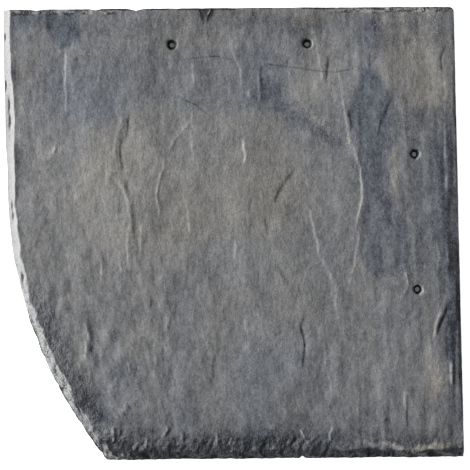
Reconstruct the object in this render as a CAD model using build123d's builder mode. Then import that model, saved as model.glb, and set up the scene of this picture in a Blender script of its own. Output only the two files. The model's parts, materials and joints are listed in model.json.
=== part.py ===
from build123d import *
import math
import os

# One roofing slate, split from the block and dressed by hand. Its head is square, one side
# is straight, and the other side curves in to a narrower foot, so that it laps its
# neighbour. It lies on its flat bed with the riven face up: +Y points from foot to head,
# +X towards the straight side, and the origin is under the middle of its outline.

# Outline
head_width = 300.0  # along the head, from corner to corner
side_height = 300.0  # down the straight side, from the head to the foot
side_lean = 7.0  # the straight side leans out by this much at the foot
head_fall = 2.0  # the head drops by this much towards the curved side
foot_width = 239.0  # along the foot, from the end of the curve to the straight side
foot_fall = 2.3  # the foot drops by this much towards the curve
curve_start = 117.0  # the curved side runs straight this far below the head
curve_start_lean = 2.0  # and leans in by this much on that run
square_corner_radius = 3.5  # worn corner between the head and the straight side
foot_corner_radius = 2.0  # worn corner between the curve and the foot

# Riven face
thickness = 6.0  # from the flat bed to the middle level of the face
swell_rise = 0.4  # the long swells rise and fall by this much
swell_pitch = 92.0  # from one swell to the next, across the grain
swell_length = 260.0  # and along the grain
ripple_rise = 0.15  # the same three sizes for the ripples that lie over the swells
ripple_pitch = 34.0
ripple_length = 118.0
face_samples = 31  # points each way that the face's surface is drawn through

# Scars where a leaf of stone came away. One lies beside the straight side, with points given
# as (in from that side, down from the head). The other takes in the corner between the head
# and the curved side, with points given as (in from that corner, down from the head).
scar_depth = 0.35
side_scar = [
    (56, 42),
    (69, 58),
    (66, 92),
    (62, 127),
    (65, 160),
    (68, 184),
    (48, 180),
    (36, 168),
    (35, 110),
    (40, 56),
]
corner_scar = [
    (54, -8),
    (54, 20),
    (44, 30),
    (43, 62),
    (58, 80),
    (34, 96),
    (4, 105),
    (-10, 90),
    (-10, 40),
    (10, -10),
]

# Dressed edges: each blow of the slater's tool breaks a shallow bowl out of the arris
blow_pitch = 9.5  # from one blow to the next
blow_radius = 15.0  # of the bowl
side_bevel = 5.0  # a bowl reaches this far over the face along the curved side
foot_bevel = 6.5  # and along the foot
bevel_swing = 1.1  # it may reach this much more or less from blow to blow
edge_land = 0.9  # upright edge that is left under the bowls

# Chips along the head, near the curved side
chip_places = (22.0, 61.0, 90.0)  # from the head's corner over the curved side
chip_radius = 9.0
chip_depth = 1.1

# Worn arris of the straight side
wear_width = 3.2  # over the face
wear_drop = 1.3  # down the edge

# Nail holes: a pair under the head and a pair beside the straight side. Each is a narrow
# bore at the bed, and opens into the crater that the punch broke out of the face.
nail_bore = 3.0
crater_diameter = 7.0
crater_depth = 3.5
nail_pitch = 90.0
nail_from_corner = 98.0  # first nail of each pair, from the head's square corner
head_nail_inset = 24.2  # of the pair under the head
side_nail_inset = 28.3  # of the pair beside the straight side

# Corners of the outline
right = (head_width + side_lean) / 2
top = (side_height + foot_fall) / 2
square_corner = Vector(right - side_lean, top)
head_corner = Vector(-right, top - head_fall)
curve_top = head_corner + Vector(curve_start_lean, -curve_start)
foot_corner = Vector(right - foot_width, -top)
heel_corner = Vector(right, foot_fall - top)

up = Vector(0, 0, 1)
head_way = (square_corner - head_corner).normalized()
side_way = (heel_corner - square_corner).normalized()
overshoot = 20.0  # the face's surface and its cutters run this far past the stone
ceiling = thickness + swell_rise + ripple_rise + 1  # level above the whole face


def beside_corner(down, inward):
    """The point that lies this far down the straight side and this far in from it."""
    return square_corner + side_way * down - head_way * inward


def face_height(x, y):
    """Long swells that run with the grain, and shorter ripples that wander over them."""
    swell = math.sin(2 * math.pi * x / swell_pitch + 1.4 * math.sin(2 * math.pi * y / swell_length))
    ripple = math.sin(2 * math.pi * x / ripple_pitch + 1.1 * math.cos(2 * math.pi * y / ripple_length))
    return thickness + swell_rise * swell + ripple_rise * ripple


def riven_surface(drop=0.0):
    """The split face as one smooth surface, wider than the stone and lowered by the drop."""
    reach_x = right + overshoot
    reach_y = top + overshoot
    steps = [2 * i / (face_samples - 1) - 1 for i in range(face_samples)]
    rows = []
    for u in steps:
        x = u * reach_x
        rows.append([(x, v * reach_y, face_height(x, v * reach_y) - drop) for v in steps])
    return Face.make_surface_from_array_of_points(rows, tol=0.005)


def blow_centres(edge, bevel):
    """Centres of the balls that break the bowls out of an edge. Seen along the edge, each
    ball's circle passes through two points: the top of the land on the edge, and the point
    of the face that lies one bevel in. The bevel swings from blow to blow."""
    centres = []
    count = round(edge.length / blow_pitch)
    for i in range(count):
        at = (i + 0.5) / count
        outward = (edge % at).cross(up).normalized()
        width = bevel + bevel_swing * math.sin(2.4 * i) * math.cos(1.1 * i)
        rise = thickness - edge_land
        chord = math.hypot(width, rise)
        stand_off = math.sqrt(blow_radius**2 - (chord / 2) ** 2)
        out = stand_off * rise / chord - width / 2
        lift = (edge_land + thickness) / 2 + stand_off * width / chord
        centres.append(edge @ at + outward * out + up * lift)
    return centres


def leaf(points):
    """The leaf of stone that came away inside an outline, from the scar's floor up."""
    with BuildPart() as stone:
        with BuildSketch():
            with BuildLine():
                Spline(*points, periodic=True)
            make_face()
        extrude(amount=ceiling)
        split(bisect_by=riven_surface(scar_depth), keep=Keep.TOP)
    return stone.part


side_leaf = leaf([beside_corner(down, inward) for inward, down in side_scar])
corner_leaf = leaf([head_corner + head_way * inward + side_way * down for inward, down in corner_scar])

# The two dressed runs of the outline, and the rest of it
with BuildLine() as curved_side:
    Line(head_corner, curve_top)
    TangentArc(curve_top, foot_corner, tangent=curve_top - head_corner)

with BuildLine() as foot:
    Line(foot_corner, heel_corner)

with BuildLine() as outline:
    add(curved_side.line)
    add(foot.line)
    Polyline(heel_corner, square_corner, head_corner)

with BuildPart() as slate:
    with BuildSketch() as blank:
        add(outline.line)
        make_face()
        fillet(blank.vertices().sort_by_distance(square_corner)[0], square_corner_radius)
        fillet(blank.vertices().sort_by_distance(foot_corner)[0], foot_corner_radius)
    extrude(amount=ceiling)
    split(bisect_by=riven_surface(), keep=Keep.BOTTOM)
    add([side_leaf, corner_leaf], mode=Mode.SUBTRACT)

    # Worn arris of the straight side
    arris = Plane(
        origin=square_corner + up * (thickness - wear_drop),
        x_dir=side_way,
        z_dir=up.cross(side_way) * wear_drop + up * wear_width,
    )
    split(bisect_by=arris, keep=Keep.BOTTOM)

    # Bowls along the curved side and the foot
    with Locations(blow_centres(curved_side.wires()[0], side_bevel)):
        Sphere(blow_radius, mode=Mode.SUBTRACT)
    with Locations(blow_centres(foot.wires()[0], foot_bevel)):
        Sphere(blow_radius, mode=Mode.SUBTRACT)

    # Chips along the head
    chip_lift = (chip_radius - chip_depth) / math.sqrt(2)
    chip_offset = (up.cross(head_way) + up) * chip_lift + up * thickness
    with Locations([head_corner + head_way * place + chip_offset for place in chip_places]):
        Sphere(chip_radius, mode=Mode.SUBTRACT)

    # Nail holes
    nail_runs = (nail_from_corner, nail_from_corner + nail_pitch)
    head_nails = [beside_corner(head_nail_inset, run) for run in nail_runs]
    side_nails = [beside_corner(run, side_nail_inset) for run in nail_runs]
    crater_angle = 2 * math.degrees(math.atan2((crater_diameter - nail_bore) / 2, crater_depth))
    with Locations([nail + up * thickness for nail in head_nails + side_nails]):
        CounterSinkHole(nail_bore / 2, crater_diameter / 2, counter_sink_angle=crater_angle)

slate.part.label = "slate"
os.makedirs("parts", exist_ok=True)
export_step(slate.part, "parts/slate.step")
for nail in head_nails + side_nails:
    print("nail", nail)
print("volume", round(slate.part.volume))
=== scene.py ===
# %% [markdown]
# # A riven roofing slate
# The object is one piece of stone, split from its block along the grain and dressed by hand.
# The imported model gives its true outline, thickness and nail holes. This file gives it the
# face that splitting leaves, the broken edges, and the colours of weathered stone.
# Everything is in metres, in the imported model's own frame, with the slate lying on its bed.

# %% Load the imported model
import json
import bpy
import numpy as np
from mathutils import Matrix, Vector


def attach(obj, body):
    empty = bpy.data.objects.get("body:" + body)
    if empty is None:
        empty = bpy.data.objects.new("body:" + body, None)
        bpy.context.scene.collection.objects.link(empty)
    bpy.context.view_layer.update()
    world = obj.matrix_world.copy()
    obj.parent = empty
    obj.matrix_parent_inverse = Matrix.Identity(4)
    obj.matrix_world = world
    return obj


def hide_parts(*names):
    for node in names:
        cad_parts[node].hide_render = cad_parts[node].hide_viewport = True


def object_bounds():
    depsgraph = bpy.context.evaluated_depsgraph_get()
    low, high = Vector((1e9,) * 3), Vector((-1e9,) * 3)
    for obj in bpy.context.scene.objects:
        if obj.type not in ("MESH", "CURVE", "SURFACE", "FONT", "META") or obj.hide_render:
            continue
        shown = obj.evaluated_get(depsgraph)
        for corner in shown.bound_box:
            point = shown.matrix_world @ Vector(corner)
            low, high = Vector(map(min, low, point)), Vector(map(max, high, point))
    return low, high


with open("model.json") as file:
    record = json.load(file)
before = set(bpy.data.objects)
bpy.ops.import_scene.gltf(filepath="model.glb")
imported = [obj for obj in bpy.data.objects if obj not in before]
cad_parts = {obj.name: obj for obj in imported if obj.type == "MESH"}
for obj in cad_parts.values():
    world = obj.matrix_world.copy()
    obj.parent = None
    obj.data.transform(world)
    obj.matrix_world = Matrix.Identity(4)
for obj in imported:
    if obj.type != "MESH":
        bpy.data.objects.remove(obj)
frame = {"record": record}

cad_low, cad_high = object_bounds()
print("size in mm:", [round((b - a) * 1000, 2) for a, b in zip(cad_low, cad_high)])

# %% [markdown]
# ## Working in millimetres
# A slate is measured in millimetres, so the shapes are worked out in them as numpy arrays,
# and one factor turns them into Blender's metres at the end. The outline comes from the box
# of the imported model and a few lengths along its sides: the head and the foot fall a little
# to the left, the right side leans out, and the left side runs straight for a while before
# an arc, tangent to it, carries it in to the foot.

# %% Outline
MM = 0.001
LEFT, BOTTOM = cad_low.x / MM, cad_low.y / MM
RIGHT, TOP = cad_high.x / MM, cad_high.y / MM
THICKNESS = 6.0

side_lean = 7.0
head_fall = 2.0
curve_start, curve_start_lean = 117.0, 2.0
foot_width = 239.0
foot_fall = 2.3

square_corner = np.array([RIGHT - side_lean, TOP])
head_corner = np.array([LEFT, TOP - head_fall])
curve_top = head_corner + np.array([curve_start_lean, -curve_start])
foot_corner = np.array([RIGHT - foot_width, BOTTOM])
heel_corner = np.array([RIGHT, BOTTOM + foot_fall])


def direction(start, end):
    """Unit vector from one point to another."""
    return (end - start) / np.linalg.norm(end - start)


head_way = direction(head_corner, square_corner)
side_way = direction(square_corner, heel_corner)
foot_way = direction(foot_corner, heel_corner)
run = direction(head_corner, curve_top)
across = np.array([-run[1], run[0]])
chord = foot_corner - curve_top
arc_radius = chord @ chord / (2 * chord @ across)
arc_centre = curve_top + across * arc_radius
print("arc radius:", round(arc_radius, 1), "mm")


# %% The left side
def left_edge(y):
    """x of the left side at height y: a sloping line above, and below it the arc, where x is
    the arc's centre less the root of radius squared minus height squared."""
    share = (head_corner[1] - y) / (head_corner[1] - curve_top[1])
    straight = head_corner[0] + share * (curve_top[0] - head_corner[0])
    drop = np.clip(y - arc_centre[1], -arc_radius, arc_radius)
    arc = arc_centre[0] - np.sqrt(arc_radius**2 - drop**2)
    return np.where(y > curve_top[1], straight, arc)


def pairs(text):
    """Points written as x,y with spaces between them, as an array."""
    return np.array([pair.split(",") for pair in text.split()], float)


# %% [markdown]
# ## Unevenness
# Nothing on split stone is quite straight or level. All the unevenness below comes from one
# helper: random heights on a lattice, blended smoothly between the lattice points. A lattice
# that is finer across than along gives the streaks that follow the grain. Each call has its
# own fixed seed, so the slate comes out the same every time.

# %% Random hills
def hills(x, y, wide, long, seed):
    """Smooth random heights from -1 to 1. The lattice is wide by long mm. Inside a lattice
    cell the four corner heights are blended by 3t^2 - 2t^3 in each direction."""
    heights = np.random.default_rng(seed).uniform(-1, 1, (512, 512))
    u, v = x / wide + 200.5, y / long + 200.5
    i, j = np.floor(u).astype(int), np.floor(v).astype(int)
    s, t = u - i, v - j
    s, t = s * s * (3 - 2 * s), t * t * (3 - 2 * t)
    i, j, i1, j1 = i % 512, j % 512, (i + 1) % 512, (j + 1) % 512
    low = heights[i, j] * (1 - s) + heights[i1, j] * s
    high = heights[i, j1] * (1 - s) + heights[i1, j1] * s
    return low * (1 - t) + high * t


def rise(value, start, end):
    """0 before start, 1 after end, and 3t^2 - 2t^3 between them."""
    t = np.clip((value - start) / (end - start), 0, 1)
    return t * t * (3 - 2 * t)


def fall(value, start, end):
    """1 before start and 0 after end: what the rise leaves of 1."""
    return 1 - rise(value, start, end)


# %% [markdown]
# ## The grid
# The face is one grid of points. Each row runs from the left side to the right side at the
# same share of their heights, and each column at the same share of the row. The columns and
# rows stand closer together near the edges, where the stone is broken, and the columns are
# closer than the rows throughout, because the grain runs up and down the slate.

# %% Rows and columns
def stations(fine_start, first, middle, last, fine_end):
    """Shares from 0 to 1: closely spaced over the two end stretches, wider between them."""
    return np.concatenate([
        np.linspace(0, fine_start, first + 1),
        np.linspace(fine_start, 1 - fine_end, middle + 1)[1:],
        np.linspace(1 - fine_end, 1, last + 1)[1:],
    ])


columns = stations(fine_start=0.036, first=24, middle=424, last=12, fine_end=0.022)
rows = stations(fine_start=0.070, first=33, middle=131, last=10, fine_end=0.016)
u, v = np.meshgrid(columns, rows, indexing="ij")
left_y = BOTTOM + v * (head_corner[1] - BOTTOM)
right_y = heel_corner[1] + v * (TOP - heel_corner[1])
left_x = left_edge(left_y)
right_x = heel_corner[0] + v * (square_corner[0] - heel_corner[0])
X = left_x + u * (right_x - left_x)
Y = left_y + u * (right_y - left_y)
print("grid:", X.shape, "points")

# %% [markdown]
# ## Broken outline
# Dressing leaves the outline rough. The grid's edges are drawn inwards by a small random
# amount, and the shift fades out over the next few millimetres, so the grid stays regular.
# It goes inwards, but for a slight bulge where the left side already leans in, so the slate
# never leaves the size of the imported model. The left side has shallow bays, given as pairs of
# distance below the middle and depth. The head and the foot have a few notches, and the
# corner between the head and the right side is worn round.

# %% Roughen the edges
FADE = 9.0
foot_notches = [(46.0, 2.6, 1.6)]
head_notches = [(-131.0, 7.0, 0.8), (-91.4, 4.6, 0.9), (-64.5, 6.5, 1.5)]
left_dressing = pairs("""
    -60,0.0 -45,0.9 0,0.75 14,0.1 25,0.7 45,0.7 60,0.0 75,0.6 85,0.3 105,0.7 115,1.2 125,0.9
    135,1.6 145,1.2
""")


def worn(s, calm, rough, seed):
    """How far an edge is worn in, along its length s: a calm part and a rough part in mm."""
    slow = 0.5 + 0.5 * hills(s, s * 0, 17, 1, seed)
    quick = 0.5 + 0.5 * hills(s, s * 0, 3.2, 1, seed + 1)
    return 0.03 + calm * slow + rough * quick**2


def bitten(s, notches):
    """Depth of notches given as (place, half width, depth): a pointed hollow in each."""
    return sum(
        depth * np.clip(1 - np.abs(s - place) / half, 0, 1) ** 1.3 for place, half, depth in notches
    )


left_gap, right_gap = X - left_x, right_x - X
left_height = left_y[0, -1] - BOTTOM
foot_gap, head_gap = v * left_height, (1 - v) * left_height
bulge = 0.38 * rise(-Y, -146, -128) * fall(-Y, -112, -90)
rough = 0.05 + 1.0 * rise(-Y, -10, 60)
dressed = np.interp(-Y, *left_dressing.T) + worn(Y, calm=0.08, rough=rough, seed=11)
X = X + (dressed - bulge) * fall(left_gap, 0, FADE)
X = X - worn(Y, calm=0.15, rough=0.20, seed=21) * fall(right_gap, 0, FADE)
dressed = worn(X, calm=0.4, rough=0.5, seed=31) + bitten(X, foot_notches)
Y = Y + dressed * fall(foot_gap, 0, FADE)
dressed = worn(X, calm=0.20, rough=0.25, seed=41) + bitten(X, head_notches)
Y = Y - dressed * fall(head_gap, 0, FADE)
print("outline after wear:", X.min().round(2), X.max().round(2), Y.min().round(2), Y.max().round(2))

# %% Round the square corner
CORNER_ROUND = 3.5
in_x, in_y = X - (square_corner[0] - CORNER_ROUND), Y - (TOP - CORNER_ROUND)
turn = (in_x > 0) & (in_y > 0)
pull = np.where(turn, np.maximum(in_x, in_y) / np.maximum(np.hypot(in_x, in_y), 1e-9), 1)
X = np.where(turn, square_corner[0] - CORNER_ROUND + in_x * pull, X)
Y = np.where(turn, TOP - CORNER_ROUND + in_y * pull, Y)
print("points drawn in:", turn.sum())

# %% [markdown]
# ## The dressed edges
# The slate is laid on an iron edge and struck with a hammer, blow beside blow. Every blow
# breaks a shallow bowl out of the upper arris and leaves a little upright edge below it. A
# bowl is part of a ball, so the broken surface is the lowest of many ball surfaces. The path
# of the blows runs down the left side and then along the foot.

# %% Blows along a path
EDGE_LAND = 0.9
BLOW_RADIUS = 15.0


def blow_centres(path, pitch, bevels, swing, seed):
    """Centres of the balls along a path of points. Each ball passes through the top of the
    land, on the edge, and through the face one bevel inside the edge. The bevels are pairs
    of distance along the path and width, and each blow swings a little about them."""
    steps = np.diff(path, axis=0)
    length = np.concatenate([[0], np.cumsum(np.hypot(*steps.T))])
    at = np.arange(pitch / 2, length[-1], pitch)
    x, y = np.interp(at, length, path[:, 0]), np.interp(at, length, path[:, 1])
    tangent = np.gradient(np.column_stack([x, y]), axis=0)
    tangent /= np.linalg.norm(tangent, axis=1)[:, None]
    swings = np.random.default_rng(seed).uniform(-swing, swing, at.size)
    width = np.interp(at, *bevels.T) + swings
    drop = THICKNESS - EDGE_LAND
    reach = np.hypot(width, drop)
    stand_off = np.sqrt(BLOW_RADIUS**2 - (reach / 2) ** 2)
    out = stand_off * drop / reach - width / 2
    lift = (EDGE_LAND + THICKNESS) / 2 + stand_off * width / reach
    return np.column_stack([x + tangent[:, 1] * out, y - tangent[:, 0] * out, lift])


side_y = np.linspace(head_corner[1], foot_corner[1], 400)
side_path = np.column_stack([left_edge(side_y), side_y])
foot_path = np.linspace(foot_corner, heel_corner, 100)
side_bevels = pairs("""
    0,5.6 14,5.1 30,5.9 43,6.0 53,6.9 66,8.1 76,8.1 86,7.2 96,6.8 109,7.2 118,7.4 128,6.6 140,7.0
    150,6.6 156,7.2 166,5.4 174,7.4 184,7.2 194,5.0 206,7.0 219,6.8 235,7.8 262,8.6 290,8.8 330,7.6
""")
foot_bevels = pairs("0,5.0 60,6.5 150,5.0 185,8.0 200,5.5 240,5.0")
balls = np.vstack([
    blow_centres(side_path, pitch=5.5, bevels=side_bevels, swing=0.35, seed=5),
    blow_centres(foot_path, pitch=6.5, bevels=foot_bevels, swing=1.3, seed=6),
])
print("blows:", len(balls))

# %% [markdown]
# The broken surface isn't smooth inside a bowl. It carries ripples and torn facets, which
# are rougher along the curve, and a few long pits along the upper left edge where splinters
# came away. Three nicks in the left third of the head are balls too, smaller ones.

# %% Height of the broken surface
NICK_RADIUS, NICK_DEPTH = 9.0, 1.1
SPLINTER_DEPTH = 1.3
FAR_ABOVE = 99.0
head_nicks = (22.0, 61.0, 90.0)
splinters = [
    (-148.9, 86, 1.0, 4.6), (-148.4, 75, 1.0, 5.0), (-146.7, 19, 0.9, 2.6), (-146.1, 12, 0.9, 2.4),
    (-151.9, 131, 0.6, 2.0), (-151.6, 99, 0.5, 3.4), (-139.6, -29, 1.1, 3.4),
    (-129.6, -69, 1.2, 2.6), (-123.9, -74, 1.0, 2.0),
]


def under_ball(x, y, centre, radius):
    """Height of a ball's lower surface: its centre's height less the root of radius squared
    minus distance squared. Beside the ball it is far above the stone."""
    near = radius**2 - (x - centre[0]) ** 2 - (y - centre[1]) ** 2
    return np.where(near > 0, centre[2] - np.sqrt(np.maximum(near, 0)), FAR_ABOVE)


def broken_height(x, y):
    """Lowest of all the balls' lower surfaces, with facets and pits added."""
    z = np.full(x.shape, FAR_ABOVE)
    for ball in balls:
        z = np.minimum(z, under_ball(x, y, ball, BLOW_RADIUS))
    torn = rise(-y, 0, 70)
    z = z + (0.12 + 1.30 * torn) * hills(x, y, 3.4, 4.2, 51)
    z = z + (0.07 + 0.60 * torn) * hills(x, y, 1.5, 2.0, 52)
    z = z + 0.8 * torn * hills(x, y, 8, 11, 53)
    for px, py, half_wide, half_long in splinters:
        pit = np.exp(-(((x - px) / half_wide) ** 4) - ((y - py) / half_long) ** 4)
        z = z - SPLINTER_DEPTH * pit
    stand = (NICK_RADIUS - NICK_DEPTH) / np.sqrt(2)
    for place in head_nicks:
        spot = head_corner + head_way * place + np.array([-head_way[1], head_way[0]]) * stand
        z = np.minimum(z, under_ball(x, y, (*spot, THICKNESS + stand), NICK_RADIUS))
    return z


# %% [markdown]
# ## The riven face
# Slate splits along its cleavage, but never in one plane. The face swells and ripples, thin
# leaves stop at small ledges, and ridges and cracks run with the grain. Each such line is
# given by a few points, from head to foot. A ridge stands up along its line. At a step the
# stone rises or drops towards the straight side, and levels out over the next centimetre.
# Three long scratches are finer than the grid, so only their distance is worked out here,
# and the finish draws them.

# %% Lines on the face
def trace(x, y, points, closed=False):
    """Distance to a broken line, positive on the straight side's side of a line that runs
    towards the foot, and the share of its length at the nearest point."""
    starts, ends = (points, np.roll(points, -1, axis=0)) if closed else (points[:-1], points[1:])
    lengths = np.linalg.norm(ends - starts, axis=1)
    before = np.concatenate([[0], np.cumsum(lengths)])
    best, side, share = np.full(x.shape, 1e9), np.ones(x.shape), np.zeros(x.shape)
    for start, end, length, done in zip(starts, ends, lengths, before):
        way = (end - start) / length
        dx, dy = x - start[0], y - start[1]
        t = np.clip(dx * way[0] + dy * way[1], 0, length)
        gap = np.hypot(dx - t * way[0], dy - t * way[1])
        closer = gap < best
        best = np.where(closer, gap, best)
        side = np.where(closer, np.sign(way[0] * dy - way[1] * dx), side)
        share = np.where(closer, (done + t) / before[-1], share)
    return best * side, share


def read_lines(table):
    """Rows of a kind, a height, a half width and the points of a line."""
    rows = [row.split(None, 3) for row in table.strip().splitlines()]
    return [(kind, float(height), float(width), pairs(points)) for kind, height, width, points in rows]


face_lines = read_lines("""
step 0.22 0.64 69.3,108.5 71.3,99.9 73.3,88.5 75.6,71.9 76.9,59.9 78.6,55.2
step 0.48 0.64 77.9,60.6 80.6,51.9 83.9,43.3 85.1,23.9 82.8,14 81.7,3.3
step 0.30 0.64 83.3,0.6 81.3,-9.4 81.1,-19.3 76.6,-34
step 0.34 0.56 50,16.6 52.3,8 53,2 56,-6 56.2,-16
step 0.26 0.64 56.2,-12.7 62.6,-23.3 65.3,-30 68.6,-38 67.9,-46 70.6,-60.6
step 0.16 0.64 60.3,-73.3 61.3,-85.9 64.6,-99.9 65.3,-107.3 63.3,-119.2
step -0.36 0.56 42.6,43.9 36.2,36.9 30.6,29.7 27,19.3
step -0.30 0.55 29,-19.3 32.3,-26.9 36.6,-34.7
step -0.44 0.56 47.3,-53.3 44.5,-61.3 46.8,-71.3 46.8,-79.3 45.5,-91.3
step -0.70 0.56 142.2,-46.7 139.4,-54.6 136.7,-61.3 135.2,-67.3
step 0.45 0.72 137.9,-48.7 134.5,-59.3 132.2,-72
step -0.36 0.55 139.9,126.5 138.3,118.5 137.7,113.9 138.9,107.9
ridge 0.85 1.0 144.3,-83.9 144.5,-91.3 145.4,-100.6
step 0.32 0.64 140.4,75.2 140.5,60.6 140.7,47.3
step 0.32 0.64 141.2,39.3 141.4,28.6
step 0.22 0.64 135.9,-4.7 136.1,-24.7
step 0.20 0.64 142.5,-9.4 142.9,-20.7
step -0.28 0.56 105.6,91.2 101.2,81.9 98.4,75.2 95.3,64.6
step 0.18 0.64 102.2,49.9 105.2,37.9 109.2,23.3
step -0.20 0.56 90.6,118.5 90.9,108.5
step -0.22 0.56 128.6,88.5 127.9,80.6
step 0.20 0.72 140.3,101.9 140.2,89.9
ridge 0.30 1.04 115.2,-23.3 116.2,-35.3 110.6,-44.7
step 0.30 0.64 113.8,-103.3 114,-117.9
step -0.22 0.56 115.6,-105.9 115.9,-129.9
step -0.32 0.96 76.6,81.9 77.9,75.2 78.3,67.9
step 0.26 0.64 51.3,137.8 54,127.2 58,109.9
step -0.36 0.55 62.8,119.8 63.1,112.5 60.6,102.5
ridge 0.30 0.96 58.6,108.5 59,103.2
step 0.50 0.64 6.3,63.9 7.3,55.2 6.7,45.3
step 0.24 0.72 -2,125.2 0.7,116.5 4.7,109.2 4.7,96.5
step 0.20 0.64 10,101.2 10.3,89.2
step 0.26 0.64 16.9,108.5 16.5,95.2 17.3,87.2
step -0.26 0.55 18.7,112.5 18.3,100.5
step -0.22 0.56 36.5,116.5 35.6,110.5
step 0.30 0.64 1.3,-3.4 0.3,-18.7
step 0.14 0.72 10,-53.3 7.3,-61.3 10.7,-70.6 6.7,-78 2.7,-85.3
step -0.24 0.56 -8.6,-72.6 -13.2,-86.6 -16,-103.3
step -0.24 0.64 11.3,24.6 10,15.3
step 0.18 0.72 48,40.6 48.6,31.3
step -0.20 0.64 20.7,13.3 22,-1.4
ridge 0.34 1.44 -43.3,-55.3 -44.6,-66
step -0.26 0.72 -54.6,-42 -54.9,-50
step -0.24 0.72 -38.6,-42 -38.9,-50
step -0.22 0.64 -46.3,-74.6 -46.6,-83.9
ridge 0.22 1.28 -50.6,-80.6 -51.3,-88.6
step 0.24 0.64 -27.6,115.2 -26.6,99.2
step 0.26 0.64 -27.6,80.6 -27.6,70.6
ridge 0.34 0.8 -26,76.6 -34.6,67.2 -44.9,54.2
step 0.24 0.64 -27.5,63.2 -27.6,52.6
step 0.20 0.64 -31.3,23.3 -29.3,-0.7
step 0.18 0.72 -87.6,115.2 -89.9,100.5
step -0.36 0.80 -68.9,80.6 -70.4,74.6 -70.6,69.6 -71.9,62.6
step -0.34 0.60 -72.2,65.6 -74.2,59.6 -75.2,52.6 -73.9,45.6 -72.4,39.6
ridge 0.22 1.6 -73.2,79.6 -74.6,70.6 -77.9,58.6 -77.6,46.6
ridge 0.40 1.7 -76.6,38.6 -71.6,28.3 -68.7,21.9 -67.9,8 -68.3,-3
ridge 0.26 0.90 -41.3,49.9 -47.3,40.6 -50.9,26.6 -47.9,11.3
ridge 0.34 0.96 -45.3,49.3 -46.3,43.9
step 0.30 0.56 -112.2,124.5 -111.9,108.5 -111.2,93.9 -110.9,77.9
step 0.22 0.64 -101.2,129.8 -106.5,125.8 -112.5,121.2
ridge 0.50 0.6 -116.6,59 -119.2,54 -122.5,50.6
ridge 0.26 0.64 -120.8,50.9 -124.5,48.9 -133.5,48.3
step 0.16 0.72 -92.6,75.2 -101.2,66.6
step 0.20 0.72 -83.9,41.9 -84.6,32.6
step 0.26 0.72 -70.4,7.3 -70.2,-23.3
step 0.24 0.72 -61.3,7.3 -61.9,-18
step -0.22 0.72 -66.9,-11.4 -67.6,-30
step 0.26 0.72 -88,-16.7 -88.2,-31.3
step -0.26 0.72 -77.2,-18 -83.9,-28
step 0.22 0.72 -75.9,-18 -73.6,-26 -66.6,-34.7
ridge 0.48 1.7 -97.2,-59.3 -95.9,-70 -98.2,-85.3
step -0.46 1.3 -88.6,-68.6 -92.6,-74.6 -95.2,-80
step -0.26 0.64 -65.6,-72.6 -67.9,-81.3
ridge 0.24 0.96 -69.3,-83.9 -68.6,-90.6
step -0.34 0.88 -64.3,-88.6 -65.3,-95.3
ridge 0.30 1.36 -76.9,-95.3 -80.6,-101.9 -81.6,-108.6
step -0.40 0.64 -67.3,-113.3 -73.9,-120.6
step 0.34 0.64 -71.2,-113.9 -78.6,-123.2
step -0.34 0.8 -74.2,-122.6 -74.6,-135.2
ridge 0.55 1.28 -78.9,-127.2 -79.6,-140.6
step -0.34 0.72 -38.6,-125.2 -44.6,-133.9
ridge 0.45 1.04 -42.6,-128.6 -46.6,-135.2
ridge 0.34 1.1 -10.3,-131.2 -10,-143.9
ridge 0.40 1.04 -57.4,-135.2 -57.9,-142.6
ridge 0.34 0.96 -33.3,-131.2 -34,-137.9
ridge 0.34 0.96 -1,-135.2 -2,-139.9
step 0.40 0.64 68.6,-125.2 63.9,-132.4 64.3,-137.9
step 0.36 0.64 44.3,-128.6 46.6,-133.9 50.3,-140.6
step -0.70 0.96 42.3,-134.6 40,-137.9 36.6,-141.9
step -0.30 0.64 65.1,-110.6 64.6,-117.9
step 0.20 0.8 82.8,-107.3 82.6,-119.2
ridge 0.80 0.7 -13.6,150.5 -16.2,145 -18.6,140.5
step 0.26 0.9 36,96.6 41,91.2 48.6,83.2 55.6,75.2 64.6,68.6
""")
scratches = [
    pairs("-34.6,115.8 -12.6,117.9 0.7,115.2"),
    pairs("19.0,113.0 45.1,109.7 57.3,108.0 67.3,107.4 81.7,109.7"),
    pairs("-36.6,91.2 -24.6,85.2 -13.3,75.9"),
]
print("ridges and steps:", len(face_lines))


# %% Relief of the lines
def line_relief(x, y):
    """Height of all the ridges and steps, and painted light and shade along them: pale on the
    flanks and steps that face the light, dark where a step drops away from it. The points are
    pushed about a little first, so that no line is straight, and every line fades out at both ends."""
    sx, sy = x + 0.8 * hills(x, y, 5, 6, 61), y + 0.8 * hills(x, y, 6, 6, 62)
    z, painted_line_light = np.zeros(x.shape), np.zeros(x.shape)
    for kind, height, width, points in face_lines:
        side, share = trace(sx, sy, points)
        strength = height * rise(share, 0, 0.15) * fall(share, 0.85, 1)
        if kind == "ridge":
            z += 1.3 * strength * np.exp(-((side / width) ** 2))
            painted_line_light += strength * np.exp(-(((side + 0.5 * width) / 0.7) ** 2))
        else:
            z += 1.3 * strength * rise(side, -width, width) * np.exp(-np.maximum(side, 0) / 7)
            painted_line_light += strength * np.exp(-((side / 0.6) ** 2))
    return z, painted_line_light * np.clip(0.9 + 0.9 * hills(x, y, 2.2, 2.6, 63), 0.1, 1.5)


def scratch_marks(x, y):
    """Distance to the nearest scratch, and its strength there, which fades at both ends. A
    scratch is finer than the grid, so the finish draws it from the distance."""
    nearest, strength = np.full(x.shape, 99.0), np.zeros(x.shape)
    for points in scratches:
        side, share = trace(x, y, points)
        closer = np.abs(side) < np.abs(nearest)
        fade = rise(share, 0, 0.1) * fall(share, 0.9, 1) * (np.abs(side) < 6)
        nearest, strength = np.where(closer, side, nearest), np.where(closer, fade, strength)
    return nearest, strength


# %% [markdown]
# Two leaves of stone came away in thin flakes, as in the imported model: one beside the right
# side and one at the upper left corner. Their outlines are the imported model's. A rounded
# outline comes from cutting every corner of a polygon off, a few times over.

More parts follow.
